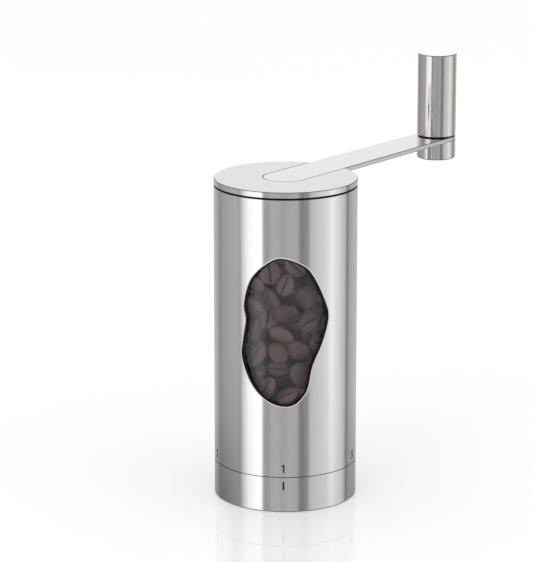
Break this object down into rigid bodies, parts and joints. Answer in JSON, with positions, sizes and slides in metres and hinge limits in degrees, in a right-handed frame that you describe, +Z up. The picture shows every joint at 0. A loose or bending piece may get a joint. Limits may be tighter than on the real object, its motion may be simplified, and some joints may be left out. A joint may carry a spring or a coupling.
{
  "type": "hand crank coffee grinder",
  "caption": "Cylindrical steel hand grinder with a bean shaped window, a lid turned by a long crank with a spinning grip, and a numbered ring that sets the burrs' gap.",
  "frame": {"origin": "on the crank's turning axis, in the plane that the setting ring stands on", "axes": "+Z up along the crank's turning axis, -Y towards the front with the window and the index mark"},
  "size_m": [0.1033, 0.1261, 0.1737],
  "materials": {
    "steel_body": "brushed, satin",
    "steel_lid": "fine bead, satin",
    "steel_arm": "brushed along its length",
    "steel_grip": "polished satin",
    "steel_inner": "plain machined",
    "smoked_plastic": "clear, smoked",
    "black_plastic": "fine matt grain",
    "black_rubber": "matt",
    "grey_plastic": "fine matt grain",
    "ceramic": "fired ceramic, satin",
    "bronze": "sintered, oiled"
  },
  "bodies": {
    "body": {"sleeve": "steel_body", "window_seal": "black_rubber", "hopper_liner": "smoked_plastic", "rim_ring": "black_plastic", "mill_housing": "black_plastic", "bearing_bridge": "black_plastic", "bridge_screws": "steel_inner", "shaft_bush": "bronze", "ring_retainer": "steel_inner", "detent_ball": "steel_inner", "detent_spring": "steel_inner", "burr_spring": "steel_inner"},
    "ring": {"setting_ring": "steel_body", "ring_core": "black_plastic", "jar_gasket": "black_rubber"},
    "burr_set": {"burr_carrier": "grey_plastic", "outer_burr": "ceramic"},
    "drive": {"drive_shaft": "steel_inner", "inner_burr": "ceramic", "burr_washer": "steel_inner", "burr_nut": "steel_inner", "shaft_clip": "steel_inner"},
    "crank": {"lid_disc": "steel_lid", "crank_arm": "steel_arm", "lid_plug": "black_plastic", "plug_seal": "black_rubber", "drive_socket": "steel_inner", "lid_screws": "steel_inner", "grip_pin": "steel_inner", "grip_collar": "steel_grip", "grip_washer": "black_plastic", "grip_clip": "steel_inner"},
    "grip": {"grip_tube": "steel_grip", "grip_core": "grey_plastic"}
  },
  "joints": [
    {"name": "crank_turn", "type": "hinge", "parent": "body", "child": "drive", "pos_m": [0, 0, 0.1], "axis": [0, 0, 1], "continuous": true},
    {"name": "lid_lift", "type": "slide", "parent": "drive", "child": "crank", "axis": [0, 0, 1], "range_m": [0, 0.04]},
    {"name": "grip_spin", "type": "hinge", "parent": "crank", "child": "grip", "pos_m": [0.06484, 0.08762, 0.15], "axis": [0, 0, 1], "continuous": true},
    {"name": "ring_turn", "type": "hinge", "parent": "body", "child": "ring", "pos_m": [0, 0, 0.01], "axis": [0, 0, -1], "range_deg": [0, 288]},
    {"name": "burr_lift", "type": "slide", "parent": "body", "child": "burr_set", "axis": [0, 0, 1], "range_m": [0, 0.001], "deforming": ["burr_spring"]}
  ],
  "couplings": [
    {"joint": "burr_lift", "follows": "ring_turn", "m_per_rad": 0.00019894}
  ]
}
